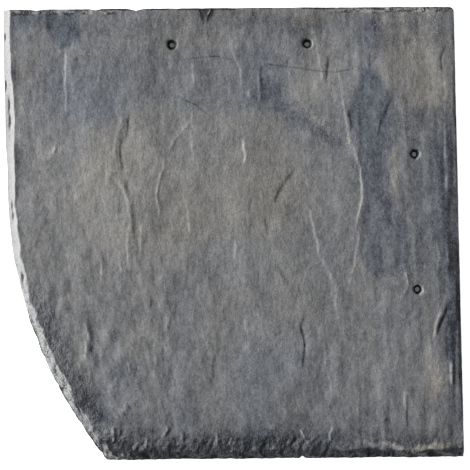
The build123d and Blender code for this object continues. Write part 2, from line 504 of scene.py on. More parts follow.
# %% Flake scars
SCAR_DEPTH = 0.35
side_scar = pairs("56,42 69,58 66,92 62,127 65,160 68,184 48,180 36,168 35,110 40,56")
corner_scar = pairs("54,-8 54,20 44,30 43,62 58,80 34,96 4,105 -10,90 -10,40 10,-10")


def rounded(points, times):
    """Every side keeps its middle half, and short sides cut the corners, a few times over."""
    for _ in range(times):
        following = np.roll(points, -1, axis=0)
        points = np.stack([0.75 * points + 0.25 * following, 0.25 * points + 0.75 * following], axis=1)
        points = points.reshape(-1, 2)
    return points


def scar_outline(corner, way, points):
    """The outline whose points lie this far in from a corner and down from the head."""
    inward, down = points.T[:, :, None]
    return rounded(corner + side_way * down + way * inward, 3)


scars = [
    scar_outline(square_corner, -head_way, side_scar),
    scar_outline(head_corner, head_way, corner_scar),
]
print("scars:", len(scars))


def cover(x, y, outline, border, wander):
    """1 inside the outline, 0 outside, with a step as wide as two borders on it. The points
    are pushed about by the wander in mm first. A point is inside if a ray from it crosses
    the outline an odd number of times."""
    sx, sy = x + wander * hills(x, y, 7, 11, 71), y + wander * hills(x, y, 8, 12, 72)
    side, _ = trace(sx, sy, outline, closed=True)
    inside = np.zeros(x.shape, bool)
    for (ax, ay), (bx, by) in zip(outline, np.roll(outline, -1, axis=0)):
        if ay != by:
            inside ^= ((ay > sy) != (by > sy)) & (sx < ax + (bx - ax) * (sy - ay) / (by - ay))
    return rise(np.where(inside, 1, -1) * np.abs(side), -border, border)


# %% [markdown]
# ## The whole upper surface
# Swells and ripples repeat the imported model's formula. On top come soft terraces, where the
# split jumped from one leaf to the next, and three sizes of streaks. Near the dressed edges
# a shallow trough runs inside the arris, the foot falls away in short ribs, and the right
# side falls away gently to its worn arris. The whole face lies a little lower than the packed
# model's, so that the ridges stay inside its box. The surface is the lower one of the face
# and the broken edge.

# %% Calm and lively places
calm_patches = [
    (27, 22, 62, 76, -0.55), (101, 34, 20, 74, -0.45), (-103, -85, 28, 54, 1.5), (-60, -60, 46, 60, 0.6),
]


def patchwork(x, y, patches, wander):
    """Sum of strength times e to the minus third power of the distance, measured in each
    patch's own half width and half length. The points are pushed about by the wander in mm,
    so the borders are ragged."""
    sx = x + wander * (hills(x, y, 16, 26, 101) + 0.4 * hills(x, y, 5, 9, 102))
    sy = y + wander * (hills(x, y, 18, 28, 103) + 0.4 * hills(x, y, 6, 9, 104))
    total = np.zeros(x.shape)
    for px, py, half_wide, half_long, strength in patches:
        reach = ((sx - px) / half_wide) ** 2 + ((sy - py) / half_long) ** 2
        total += strength * np.exp(-(reach**1.5))
    return total


# %% Distances to the edges
def gaps(x, y):
    """Distances to the left side, the right side, the foot and the head."""
    curve = arc_radius - np.hypot(x - arc_centre[0], y - arc_centre[1])
    left = np.where(y > curve_top[1], x - left_edge(y), curve)
    right = (x - square_corner[0]) * side_way[1] - (y - square_corner[1]) * side_way[0]
    foot = (y - foot_corner[1]) * foot_way[0] - (x - foot_corner[0]) * foot_way[1]
    head = (head_corner[1] - y) * head_way[0] + (x - head_corner[0]) * head_way[1]
    return left, right, foot, head


# %% Height of the face
SWELL_RISE, SWELL_PITCH, SWELL_LENGTH = 0.40, 92, 260
RIPPLE_RISE, RIPPLE_PITCH, RIPPLE_LENGTH = 0.15, 34, 118
FACE_DROP = 0.45
LEAF_STEP = 0.12
TROUGH_PLACE, TROUGH_WIDTH = 9.0, 3.2
WEAR_WIDTH, WEAR_DROP = 3.2, 1.3
LOWEST, HEADROOM = 0.35, 0.02


def stone(x, y):
    """Height of the upper surface, and how far it is broken (1) and not riven (0)."""
    left, right, foot, head = gaps(x, y)
    tau = 2 * np.pi
    swell = np.sin(tau * x / SWELL_PITCH + 1.4 * np.sin(tau * y / SWELL_LENGTH))
    z = THICKNESS - FACE_DROP + SWELL_RISE * swell
    z += RIPPLE_RISE * np.sin(tau * x / RIPPLE_PITCH + 1.1 * np.cos(tau * y / RIPPLE_LENGTH))
    for outline in scars:
        z -= SCAR_DEPTH * cover(x, y, outline, border=4.0, wander=3.2)
    z += line_relief(x, y)[0]
    leaf = 2.6 * (hills(x, y, 17, 40, 81) + 0.5 * hills(x, y, 6, 12, 82))
    z += LEAF_STEP * (np.floor(leaf) + rise(leaf - np.floor(leaf), 0.38, 0.62))
    lumpy = 1 + patchwork(x, y, calm_patches, wander=6) + 0.8 * fall(left, 6, 26) * rise(-y, 10, 60)
    z += lumpy * (0.28 * hills(x, y, 9.5, 12, 83) + 0.20 * hills(x, y, 4.8, 6.5, 84))
    z += lumpy * 0.09 * hills(x, y, 2.6, 4.0, 85)

    trough = np.exp(-(((left - TROUGH_PLACE) / TROUGH_WIDTH) ** 2))
    z -= (0.30 + 0.22 * hills(x, y, 9, 9, 86)) * trough
    ribs = (0.5 + 0.5 * hills(x - 0.4 * y, y, 2.9, 26, 87)) * (1 - 0.6 * rise(x, 50, 80))
    z -= (0.55 + 0.9 * ribs) * rise(-foot, -15 - 5 * ribs, -3)
    crumbly = fall(foot, 11, 17) * (1 - 0.75 * rise(x, 30, 70))
    crumbs = 0.24 * hills(x - 0.4 * y, y, 2.3, 4.0, 89) + 0.30 * hills(x - 0.3 * y, y, 1.5, 1.9, 90)
    z += crumbly * crumbs
    margin = rise(y, -90, -70) * fall(y, 70, 90)
    shoulder = (0.15 + 0.18 * margin) * rise(-right, -9, 0) + 0.15 * rise(-right, -18, -6)
    z -= shoulder + 0.5 * rise(-head, -2.5, 0)
    wear = THICKNESS - WEAR_DROP + right * WEAR_DROP / WEAR_WIDTH + 0.15 * hills(x, y, 4, 5, 88)
    z = np.minimum(z, wear)

    cut = broken_height(x, y)
    ragged = 2.0 * rise(-y, -10, 60) * hills(x, y, 2.2, 2.8, 92)
    broken = rise(z - cut + ragged, -0.25, 0.25)
    return np.clip(np.minimum(z, cut), LOWEST, cad_high.z / MM - HEADROOM), broken


Z, BROKEN = stone(X, Y)
print("upper surface:", Z.min().round(2), "to", Z.max().round(2), "mm")
print("broken share:", BROKEN.mean().round(3))

# %% [markdown]
# ## Nail holes
# The slater punches a hole from the bed side, so the point leaves a narrow bore there and
# breaks a crater out of the riven face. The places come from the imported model's mounts. A
# grid of this pitch is too coarse for a 3 mm bore. So a block of cells is left out round
# each nail, and rings of points lead from the border of the block over the face to the
# crater's lip, down its rough cone, and straight down the bore.

# %% Rings round a nail hole
HALF_COLUMNS, HALF_ROWS = 8, 3
CRATER_RADIUS, BORE_RADIUS, BORE_TOP = 3.5, 1.5, 2.5
mounts = frame["record"]["mounts"]
nails = [np.array(mount["pos_m"][:2]) / MM for mount in mounts if mount["kind"] == "bore"]
print("nail holes:", len(nails))


def loop_round(left, right, bottom, top):
    """Column and row numbers of the points round a block of cells, anticlockwise."""
    across, along = np.arange(left, right), np.arange(bottom, top)
    sides = np.full(along.size, right), np.full(along.size, left)
    ends = np.full(across.size, bottom), np.full(across.size, top)
    ring_i = np.concatenate([across, sides[0], across[::-1] + 1, sides[1]])
    ring_j = np.concatenate([ends[0], along, ends[1], along[::-1] + 1])
    return ring_i, ring_j


def nail_rings(centre, border, seed):
    """Rings of points in from the border: over the face to the lip, then down the cone, whose
    radius and height fall together, then down the bore. The lip and the cone are torn."""
    angle = np.arctan2(border[:, 1] - centre[1], border[:, 0] - centre[0])
    way = np.column_stack([np.cos(angle), np.sin(angle)])
    torn = hills(*(way.T * 2.2), 1, 1, seed)
    lip = centre + way * (CRATER_RADIUS * (1 + 0.10 * torn))[:, None]
    rings = []
    for share in (0.4, 0.75, 1.0):
        spot = border + (lip - border) * share
        level = stone(*spot.T)[0] - 0.25 * share**6
        rings.append(np.column_stack([spot, level]))
    lip_level = rings[-1][:, 2]
    for share in (0.2, 0.4, 0.6, 0.8, 1.0):
        rough = 0.5 * np.sin(np.pi * share) * hills(*(way.T * 3.1), 1, 1, seed + 10 * round(5 * share))
        radius = CRATER_RADIUS * (1 + 0.10 * torn) * (1 - share) + (BORE_RADIUS + 0.1) * share + rough
        level = lip_level * (1 - share) + BORE_TOP * share
        rings.append(np.column_stack([centre + way * radius[:, None], level]))
    for level, radius in ((1.3, BORE_RADIUS + 0.05), (0.0, BORE_RADIUS + 0.12)):
        rings.append(np.column_stack([centre + way * radius, np.full(len(way), level)]))
    return np.array(rings)


# %% [markdown]
# ## Closing the stone
# The points of the face are numbered first, and every new loop of points gets the next
# numbers. Bands of quads join each loop to the next. The rim drops to the bed in six
# steps, and each step is drawn in a little by its own layer of the stone, so that the
# edge looks laminated from the side.

# %% Points and quads
number = np.arange(X.size).reshape(X.shape)
points = [np.column_stack([X.ravel(), Y.ravel(), Z.ravel()])]
marks = [BROKEN.ravel()]


def add_loop(loop, mark):
    """Append a loop of points with its mark of brokenness and return the points' numbers."""
    first = sum(len(block) for block in points)
    points.append(loop)
    marks.append(np.full(len(loop), mark))
    return first + np.arange(len(loop))


def band(outer, inner):
    """Quads between two closed loops of point numbers that run the same way round."""
    return np.column_stack([outer, np.roll(outer, -1), np.roll(inner, -1), inner])


cells = np.stack([number[:-1, :-1], number[1:, :-1], number[1:, 1:], number[:-1, 1:]], axis=-1)
kept = np.ones(cells.shape[:2], bool)
quads, bore_ends = [], []
for seed, nail in enumerate(nails, 91):
    i, j = np.unravel_index(np.argmin(np.hypot(X - nail[0], Y - nail[1])), X.shape)
    block = i - HALF_COLUMNS, i + HALF_COLUMNS, j - HALF_ROWS, j + HALF_ROWS
    kept[block[0]:block[1], block[2]:block[3]] = False
    border = number[loop_round(*block)]
    loop = border
    for step, ring in enumerate(nail_rings(nail, points[0][border, :2], seed)):
        following = add_loop(ring, 0.0 if step < 3 else 1.0)
        quads.append(band(loop, following))
        loop = following
    bore_ends.append(loop)
quads.append(cells[kept])
print("cells kept:", kept.sum(), "of", kept.size)

# %% Rim
rim = number[loop_round(0, number.shape[0] - 1, 0, number.shape[1] - 1)]
rim_x, rim_y, rim_z = points[0][rim].T
along = np.column_stack([np.roll(rim_x, -1) - np.roll(rim_x, 1), np.roll(rim_y, -1) - np.roll(rim_y, 1)])
along /= np.linalg.norm(along, axis=1)[:, None]
inward = np.column_stack([-along[:, 1], along[:, 0]])
rim_length = np.cumsum(np.hypot(rim_x - np.roll(rim_x, 1), rim_y - np.roll(rim_y, 1)))

loop = rim
for share in (0.12, 0.30, 0.50, 0.70, 0.88, 1.0):
    level = rim_z * (1 - share)
    layer = 0.5 + 0.5 * hills(rim_length, level, 6, 0.5, 97)
    depth = rim_z / THICKNESS * (0.10 + 0.55 * layer) + 0.25 * rise(share, 0.8, 1)
    wall = np.column_stack([rim_x + inward[:, 0] * depth, rim_y + inward[:, 1] * depth, level])
    following = add_loop(wall, 1.0)
    quads.append(band(following, loop))
    loop = following
rim_end = loop
print("rim:", len(rim), "points,", rim_length[-1].round(), "mm long")

# %% [markdown]
# The bed has a ragged outline and four holes, so it is no grid. A Delaunay triangulation
# joins the rim, the ends of the bores and points scattered over the bed. A triangle whose
# three corners lie on the bores' ends would close a hole, so it's taken out again. The bed's
# relief is only a tenth of a millimetre, and it rises from zero, so the slate lies on the
# floor.

# %% Bed
from mathutils import Vector
from mathutils.geometry import delaunay_2d_cdt

BED_COUNT, BED_PITCH, BED_SPREAD, BED_RELIEF = 90, 3.4, 0.8, 0.12
BED_MARGIN, BORE_MARGIN = 4.0, 3.2
spread = np.random.default_rng(98).uniform(-BED_SPREAD, BED_SPREAD, (2, BED_COUNT, BED_COUNT))
bed_line = np.arange(BED_COUNT) * BED_PITCH
bed_x, bed_y = np.meshgrid(bed_line, bed_line, indexing="ij")
bed_x, bed_y = (LEFT + bed_x + spread[0]).ravel(), (BOTTOM + bed_y + spread[1]).ravel()
inside = np.min(gaps(bed_x, bed_y), axis=0) > BED_MARGIN
for nail in nails:
    inside &= np.hypot(bed_x - nail[0], bed_y - nail[1]) > BORE_MARGIN
bed_x, bed_y = bed_x[inside], bed_y[inside]
bed_z = BED_RELIEF * (0.5 + 0.5 * hills(bed_x, bed_y, 14, 30, 99))
bed_inner = add_loop(np.column_stack([bed_x, bed_y, bed_z]), 0.0)

loops = [rim_end, *bore_ends]
bed_numbers = np.concatenate([*loops, bed_inner])
everything = np.vstack(points)
edges, start = [], 0
for loop in loops:
    ends = start + np.arange(len(loop))
    edges += np.column_stack([ends, np.roll(ends, -1)]).tolist()
    start += len(loop)
flat = [Vector(place) for place in everything[bed_numbers, :2].tolist()]
_, _, triangles, came_from, _, _ = delaunay_2d_cdt(flat, edges, [], 2, 1e-7)
same = bed_numbers[np.array([origin[0] for origin in came_from])]
triangles = same[np.array(triangles)][:, ::-1]
triangles = triangles[~np.isin(triangles, np.concatenate(bore_ends)).all(axis=1)]
print("bed:", len(triangles), "triangles, triangles in all:", 2 * sum(map(len, quads)) + len(triangles))

# %% [markdown]
# The grid points that fell inside the nail blocks belong to no face now. Only the points
# that some face uses are kept, and renumbered.

# %% Mesh
STEEP, BELOW_FACE = 0.35, 5.0
SHARP_ANGLE = 42


def add_object(name, data, location=(0, 0, 0)):
    """Put an object with this mesh, lamp or lens into the scene."""
    made = bpy.data.objects.new(name, data)
    made.location = location
    bpy.context.scene.collection.objects.link(made)
    return made


all_quads = np.vstack(quads)
used, renumbered = np.unique(np.concatenate([all_quads.ravel(), triangles.ravel()]), return_inverse=True)
split_at = all_quads.size
four_sided, three_sided = renumbered[:split_at].reshape(-1, 4), renumbered[split_at:].reshape(-1, 3)
places, broken = everything[used], np.concatenate(marks)[used]

corners = np.concatenate([four_sided[:, :3], three_sided])
first, second, third = places[corners].transpose(1, 0, 2)
slant = np.cross(second - first, third - first)
slant = slant[:, 2] / np.maximum(np.linalg.norm(slant, axis=1), 1e-12)
middle = places[corners].mean(axis=1)
edge_faces = (np.abs(slant) < STEEP) & (middle[:, 2] < BELOW_FACE)
mesh = bpy.data.meshes.new("riven_slate")
mesh.from_pydata((places * MM).tolist(), [], four_sided.tolist() + three_sided.tolist())
mesh.shade_smooth()
mesh.set_sharp_from_angle(angle=np.radians(SHARP_ANGLE))
slate = add_object("riven_slate", mesh)
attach(slate, "root")
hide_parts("slate")
print("points:", len(places), "box:", places.min(axis=0).round(2), places.max(axis=0).round(2))

# %% [markdown]
# ## Weathering
# A slate's colour changes slowly over its face. Where damp stood it is darker and bluer, and
# where the leaf is dry and dusty it is paler and a little brown. Each patch is a soft
# ellipse with a ragged border, and they are added up into one tone from dark to pale. A
# second sum holds the tint alone. Both are stored on the points as attributes.

# %% Soft patches
tone_patches = [
    (36, 142, 62, 9, -0.35), (-128, 142, 17, 7, -0.4), (-130, -48, 9, 22, -0.30),
    (-106, -70, 12, 18, -0.45), (-93, -112, 12, 16, -0.50), (60, -110, 80, 24, -0.15),
    (-92, 32, 27, 44, 0.45), (-57, 54, 10, 13, 0.45), (137, -101, 10, 12, 0.45),
    (122, 30, 4, 50, 0.30), (134, 104, 14, 20, 0.38), (-125, 0, 14, 70, 0.20),
    (118, -140.6, 31, 2.4, 1.55), (45, -139.5, 6, 4, 0.5), (-84, -134, 4, 9, 0.6),
    (20, 20, 50, 60, 0.10), (-88, 137, 20, 12, -0.42), (-25, 138, 45, 11, -0.28),
    (32, 136, 16, 11, -0.28), (10, -128, 88, 11, -0.36), (-66, -102, 12, 16, -0.32),
    (-64, -55, 13, 12, -0.22), (45, 97, 15, 8, 0.55), (80, 107, 34, 14, 0.26),
    (82, -103, 14, 16, 0.24), (-38, -9, 13, 13, 0.25), (-61, 30, 12, 24, 0.22),
    (-61, 86, 14, 12, 0.20), (116, -45, 12, 24, -0.18), (149, -75, 6, 14, 0.40),
    (50, 106, 16, 14, 0.24), (82, 62, 10, 14, 0.22), (-68, -128, 14, 9, -0.18),
    (-112, 18, 11, 24, -0.20), (14, -36, 13, 12, -0.20), (14, -92, 14, 24, -0.16),
    (134, -36, 9, 12, -0.20),
]
tint_patches = [
    (36, 148, 56, 7, 0.5), (120, 120, 26, 30, 0.25), (135, -145, 14, 6, 0.9),
    (80, -95, 90, 45, -0.20), (144, -45, 8, 50, -0.3), (137, -101, 10, 12, 0.35),
    (-139, 110, 8, 14, 0.3), (-8, 76, 66, 22, -0.25), (-64, -103, 13, 20, -0.25),
    (84, -55, 14, 20, 0.20),
]
dust_patches = [
    (40, 95, 8, 9, 0.9), (50, 84, 9, 7, 1.0), (60, 75, 9, 6, 1.0), (68, 68, 8, 5, 0.9),
    (77, 63, 3, 10, 1.4), (130, 130, 19, 20, 0.6), (105, 143, 45, 6, 0.45), (118, 60, 22, 50, 0.3),
    (137, -101, 9, 12, 0.8), (-139, 110, 7, 12, 0.35), (-112, 106, 14, 10, 0.2),
    (118, -140.6, 32, 2.6, 1.5), (-87, -134, 6, 10, 0.8), (-10, 20, 80, 60, 0.15),
]
# Dark spots just inside the upper left bevel: painted shade in small hollows.
hollow_shade_patches = [
    (-147, 106, 3, 9, -0.8), (-143.5, 50, 3.5, 7, -0.8), (-145, 27, 2.5, 5, -0.7),
    (-143.5, 0, 3, 6, -0.7),
]

# %% [markdown]
# Some stains have a clear border instead: damp that stood in the upper left corner and
# beside the straight side, a band that crosses the upper part, and the dry brown middle.
# The last and darkest is painted shade on the wall of a small hollow at the head.
# Each is a closed outline with the half width of its border, its tone and its tint.

# %% Stains with a border, and one painted shade
stains_and_shade = [
    (0.9, -0.55, -0.50, """
        -125.2,147.2 -103.2,147.2 -101.9,136.5 -103.2,127.2 -108.5,121.8 -115.2,123.2 -120.5,129.2
        -124.5,137.2"""),
    (3.0, -0.42, -0.38, "-149.2,147.2 -123.9,147.2 -127.9,139.2 -138.5,133.8 -148.5,131.2"),
    (4.0, -0.24, -0.22, """
        -129,120 -96,116 -63,122 -23,122 11,125 36,114 39,96 48,84 64,73 75,62 75,54 59,62 44,70 33,76
        11,84 -16,86 -33,83 -46,88 -63,81 -83,75 -109,75 -129,85"""),
    (1.6, -0.34, 0.0, """
        32.6,87.5 42,82.5 52,74.6 63.9,66.6 75.3,58.2 73.3,55.2 60.6,60.6 44,69.2 32.6,73.8 28,82.2"""),
    (3.0, -0.32, -0.15, "10.7,99.2 33.3,104.5 38,93.9 44,85.9 36,80.6 22.7,85.9 12,89.2"),
    (1.2, -0.50, -0.42, """
        83.9,113.9 100.6,100.5 107.2,91.9 108.6,68.6 105.2,55.2 102.6,38.6 105.2,22 110.6,12 118.6,-1.4
        115.9,-19.3 108.6,-29.3 97.2,-28.7 89.2,-24.7 84.6,-19.3 82.6,-11.4 86.5,-1.4 83.9,10.6 86.6,22
        85.6,35.3 82.3,48.6 80.6,61.9 75.6,71.9 76.6,81.9 81.3,88.5"""),
    (3.0, -0.34, -0.25, "83.9,143 100.6,140.5 96.6,115.2 100.6,98.5 84,95.2 84.6,115"),
    (4.0, -0.46, -0.18, """
        109.2,88.5 127.2,81.9 145.2,87.2 149.2,55.2 150.5,-28.7 130.5,-24.7 113.2,-28.7 117.2,0.6
        111.9,18.6 113.9,35.3 111.2,55.2"""),
    (1.5, -0.34, -0.25, """
        139.9,-44.7 144.5,-40.7 150.5,-43.3 151.2,-79.3 146.5,-87.3 140.5,-80.6 135.9,-75.3 135.2,-64.6
        137.2,-54.6"""),
    (8.0, 0.08, 0.28, """
        -89,77 -56,81 -29,82 11,82 37,72 44,49 44,19 24,-5 -3,-1 -29,-8 -56,-11 -89,-8 -109,5 -116,22
        -103,42"""),
    (3.0, -0.05, 0.26, "118.6,109.9 143.9,113.9 146.5,88.5 141.2,81.2 127.2,79.9 119.2,89.9"),
    # painted shade on the wall of a small hollow at the head, which faces away from the light
    (0.5, -1.7, 0.2, "-24.5,153.5 -12.0,153.5 -14.6,146 -18.6,138.5 -21.6,142"),
]

# %% Tone and tint of every point
ABOVE_BED = 0.3
px, py, pz = places.T
left, right, foot, head = gaps(px, py)
upper = pz > ABOVE_BED
# The hollow patches add painted shade to the tone.
tone = patchwork(px, py, tone_patches, wander=6) + patchwork(px, py, hollow_shade_patches, wander=1)
tint = patchwork(px, py, tint_patches, wander=6) + 0.22 * hills(px, py, 24, 34, 112)
for border, darker, colder, outline in stains_and_shade:
    inside = cover(px, py, rounded(pairs(outline), 1), border, wander=1.6)
    tone += darker * inside
    tint += colder * inside
# Pale and dark colour along the ridges and steps: painted light and shade for their flanks.
painted_line_light = line_relief(px, py)[1] * (1 - broken)
print("stains:", len(stains_and_shade), "rubbed points:", (painted_line_light > 0.1).sum())

# %% [markdown]
# The edges have marks of their own, and painted shade. Crumbs at the ends of the head are pale
# and dark by turns, and a thin dark line along the head is painted shade. The foot is painted
# dark up to a ragged line, as shade on the bevel that faces away from the light, and a fresh
# chip on it is pale. The curve darkens towards the edge, the right side darkens towards its
# worn arris as painted shade, and faint streaks run down the right flank.

# %% Marks and painted shade along the head and the foot
plain_head = rise(px, -84, -74) * (1 - rise(px, 60, 70) * fall(px, 138, 146))
beads = fall(head, 2.6, 5.2) * (1 - plain_head)
# A thin dark line along the head: painted shade for its rounded edge.
painted_head_shade = fall(head, 0.8, 2.0) * rise(hills(px, py, 9, 40, 111), -0.6, 0.0)
tone += beads * (2.2 * hills(px, py, 2.4, 1.5, 115) - 0.35) - 1.5 * painted_head_shade
# The foot bevel and the band above it are painted dark: shade where the stone faces away from the light.
foot_line = 6.4 - 0.5 * rise(px, 10, 60) + 1.2 * hills(px, py * 0, 7, 1, 113)
tone -= (1.6 + 0.8 * rise(px, 60, 90)) * fall(foot, foot_line - 2.0, foot_line + 1.0) * (left > 3.5)
tone -= 1.2 * fall(foot, 8, 24) * (1 - 0.45 * rise(px, 40, 90))
tone += 0.9 * fall(foot, 11, 16) * (1 - 0.6 * rise(px, 30, 70)) * hills(px - 0.4 * py, py, 2.0, 3.6, 114)
print("beaded points:", (beads > 0.5).sum())

# %% Marks and painted shade along the sides
tone -= 0.62 * fall(left, 11, 24) * rise(-py, 20, 75)
# Darker towards the right side: painted shade on the worn arris, which slopes away from the light, in
# streaks.
margin = (1 - 0.8 * rise(py, 80, 100)) * (0.85 + 1.1 * hills(px, py, 1.8, 30, 116))
tone -= (0.52 * fall(right, 6, 16) + 0.15 * fall(right, 2, 6)) * margin
tone += 0.40 * rise(px, 60, 95) * hills(px + 0.05 * py, py, 2.4, 30, 118)
tone += 0.40 * fall(px, -60, -20) * rise(-py, 30, 80) * hills(px, py, 7, 9, 119)
outer = left - 0.3 - 0.75 * np.interp(-py, *left_dressing.T)
low_curve = rise(-py, 100, 118)
tone -= 1.6 * fall(outer, 0.3, 1.1) * low_curve
fresh = fall(foot, 0.5, 1.6) * rise(px, -66, -60) * fall(px, -26, -14)
tone += 1.8 * fresh
tint += 0.9 * fresh
print("fresh points:", (fresh > 0.5).sum())

# %% [markdown]
# Dust lies in patches and on the beads. Broken stone is chalky, all but the thin outer line
# of the lower curve, and the chalk is strongest where the upper bevel faces the light, partly a
# painted highlight. A nail hole is painted near black inside, as shade, and its lip is painted
# pale on the side away from the light, a painted highlight for the crater wall that the light
# reaches.

# %% Dust, chalk, painted highlight and painted shade
CHALK_REACH = 13
dust = patchwork(px, py, dust_patches, wander=4) + 1.1 * beads
# Chalk on broken stone near the left side; it is strongest on the upper bevel that faces the light, so
# it is partly a painted highlight.
chalk_and_highlight = broken * (left < CHALK_REACH) * (1 - low_curve * fall(outer, 0.4, 1.2))
chalk_and_highlight *= 1 - 0.45 * rise(-py, 108, 130)
torn = rise(-py, 10, 60)
crumbly = fall(left, 12, 26) * rise(-py, 20, 60) + fall(foot, 9, 22) * (1 - 0.7 * rise(px, 30, 70))
nail_gap, nail_side = np.full(px.shape, 99.0), np.zeros(px.shape)
for nail in nails:
    gap = np.hypot(px - nail[0], py - nail[1])
    facing = (0.9 * (px - nail[0]) - 0.44 * (py - nail[1])) / np.maximum(gap, 0.1)
    nail_side = np.where(gap < nail_gap, facing, nail_side)
    nail_gap = np.minimum(gap, nail_gap)
# Inside the craters and bores the colour goes near black: painted shade.
pit = (nail_gap < CRATER_RADIUS + 0.6) * rise(-pz, -5.0, -4.3) * (pz > 0)
# A pale crescent on the lip of each nail hole, on the side away from the light, is a painted highlight
# for the crater wall that the light reaches; it goes into the chalk.
lip = (np.abs(nail_gap - 3.4) < 0.8) * rise(nail_side, 0.45, 0.95) * (pz > 4.3)
chalk_and_highlight = np.maximum(chalk_and_highlight, 0.75 * lip)
print("chalky points:", (chalk_and_highlight > 0.5).sum())

# %% [markdown]
# The bed was split the same way but never saw the weather. It has broad streaks along the
# grain and a little dust, and none of the face's marks.

# %% Marks on the bed
tone = np.where(upper, tone, 0.25 + 0.5 * hills(px, py, 22, 70, 121) + 0.3 * hills(px, py, 7, 24, 122))
tint = np.where(upper, tint, 0.3 * hills(px, py, 40, 60, 123))
dust = np.where(upper, dust, 0.3 + 0.5 * hills(px, py, 18, 22, 124))
painted_line_light, torn, crumbly = painted_line_light * upper, torn * upper, np.minimum(crumbly, 1) * upper
print("points on the bed:", (~upper).sum())

# %% Attributes
scratch, scratched = scratch_marks(px, py)
scratched *= upper * (0.8 + 0.4 * hills(px, py, 9, 9, 64))
face_marks = {
    "tone": tone, "tint": tint, "painted_line_light": painted_line_light, "dust": dust, "chalk_and_highlight": chalk_and_highlight, "torn": torn,
    "crumbly": crumbly, "pit": pit, "scratch": np.clip(scratch, -9, 9), "scratched": scratched,
}
for name, values in face_marks.items():
    mesh.attributes.new(name, "FLOAT", "POINT").data.foreach_set("value", values.astype(np.float32))
print("tone from", tone.min().round(2), "to", tone.max().round(2))

# %% [markdown]
# ## Shared shader effects
# The riven face, the bed and the split edges are one stone, so one node group gives all of
# them their grain: a noise whose sizes across, along and through the slate are set apart.
# On the face the grain is a little longer along the slate. On the rim it is very thin
# through the slate, so the leaves of the stone show.

# %% Node helpers
def new_group(name, inputs, output):
    """An empty node group with named float inputs, a vector input and one float output."""
    group = bpy.data.node_groups.new(name, "ShaderNodeTree")
    group.interface.new_socket("Vector", in_out="INPUT", socket_type="NodeSocketVector")
    for label, value in inputs.items():
        socket = group.interface.new_socket(label, in_out="INPUT", socket_type="NodeSocketFloat")
        socket.default_value = value
    group.interface.new_socket(output, in_out="OUTPUT", socket_type="NodeSocketFloat")
    return group, group.nodes.new("NodeGroupInput"), group.nodes.new("NodeGroupOutput")


def node(tree, kind, **settings):
    """Add a node, set its properties, and its inputs where the setting's name is theirs."""
    made = tree.nodes.new(kind)
    for label, value in settings.items():
        if hasattr(made, label):
            setattr(made, label, value)
        else:
            made.inputs[label.replace("_", " ")].default_value = value
    return made


def fill(tree, socket, value):
    """Link another node's output into a socket, or set it to a plain value."""
    if isinstance(value, bpy.types.NodeSocket):
        tree.links.new(value, socket)
    else:
        socket.default_value = value


def maths(tree, operation, *values):
    """A Math node on sockets or plain numbers, returned as its output socket."""
    made = node(tree, "ShaderNodeMath", operation=operation)
    for socket, value in zip(made.inputs, values):
        fill(tree, socket, value)
    return made.outputs[0]


def weighted(tree, start, *parts):
    """The start plus every part times its share."""
    for part, share in parts:
        start = maths(tree, "MULTIPLY_ADD", part, share, start)
    return start


def positive(tree, value):
    """The value where it is above 0, and 0 elsewhere."""
    return maths(tree, "MAXIMUM", value, 0.0)


# %% Grain group
def grain_group():
    """Noise on coordinates divided by the grain's sizes across, along and through the slate,
    less one half, so it swings about zero."""
    sizes = {"Across": 1.0, "Along": 1.0, "Through": 1.0}
    group, inlet, outlet = new_group("cleavage grain", {**sizes, "Detail": 2.0}, "Grain")
    cell = group.nodes.new("ShaderNodeCombineXYZ")
    for label, axis in zip(sizes, "XYZ"):
        group.links.new(inlet.outputs[label], cell.inputs[axis])
    share = node(group, "ShaderNodeVectorMath", operation="DIVIDE")
    group.links.new(inlet.outputs["Vector"], share.inputs[0])
    group.links.new(cell.outputs[0], share.inputs[1])
    noise = node(group, "ShaderNodeTexNoise", Scale=1000.0, Roughness=0.6)
    group.links.new(share.outputs[0], noise.inputs["Vector"])
    group.links.new(inlet.outputs["Detail"], noise.inputs["Detail"])
    group.links.new(maths(group, "SUBTRACT", noise.outputs["Fac"], 0.5), outlet.inputs["Grain"])
    return group


grain = grain_group()


def add_grain(tree, coords, across, along, through, detail):
    """Place the grain group in a material with its sizes in mm."""
    made = node(tree, "ShaderNodeGroup", node_tree=grain)
    sizes = {"Across": across, "Along": along, "Through": through, "Detail": detail}
    for label, value in sizes.items():
        made.inputs[label].default_value = value
    tree.links.new(coords, made.inputs["Vector"])
    return made.outputs["Grain"]


# %% Colour helpers
def mixed(tree, factor, first, second, blend="MIX"):
    """Two colours, each a socket or three numbers, mixed by a factor held between 0 and 1."""
    made = node(tree, "ShaderNodeMix", data_type="RGBA", blend_type=blend, clamp_factor=True)
    fill(tree, made.inputs["Factor"], factor)
    fill(tree, made.inputs[6], first)
    fill(tree, made.inputs[7], (*second, 1))
    return made.outputs[2]


def tone_ramp(tree, level):
    """Colour of weathered slate from dark and damp (0) over plain grey to dry and pale (1)."""
    ramp = tree.nodes.new("ShaderNodeValToRGB")
    stops = ramp.color_ramp.elements
    stops[0].position, stops[0].color = 0.0, (0.020, 0.023, 0.028, 1)
    stops[1].position, stops[1].color = 1.0, (0.300, 0.295, 0.280, 1)
    stops.new(0.14).color = (0.062, 0.067, 0.078, 1)
    stops.new(0.5).color = (0.160, 0.162, 0.166, 1)
    tree.links.new(level, ramp.inputs["Fac"])
    return ramp.outputs["Color"]


def new_material(name, specular):
    """A material with its tree, its Principled shader and its Object coordinates."""
    material = bpy.data.materials.new(name)
    material.use_nodes = True
    tree = material.node_tree
    shader = tree.nodes["Principled BSDF"]
    shader.inputs["Specular IOR Level"].default_value = specular
    return material, tree, shader, tree.nodes.new("ShaderNodeTexCoord").outputs["Object"]


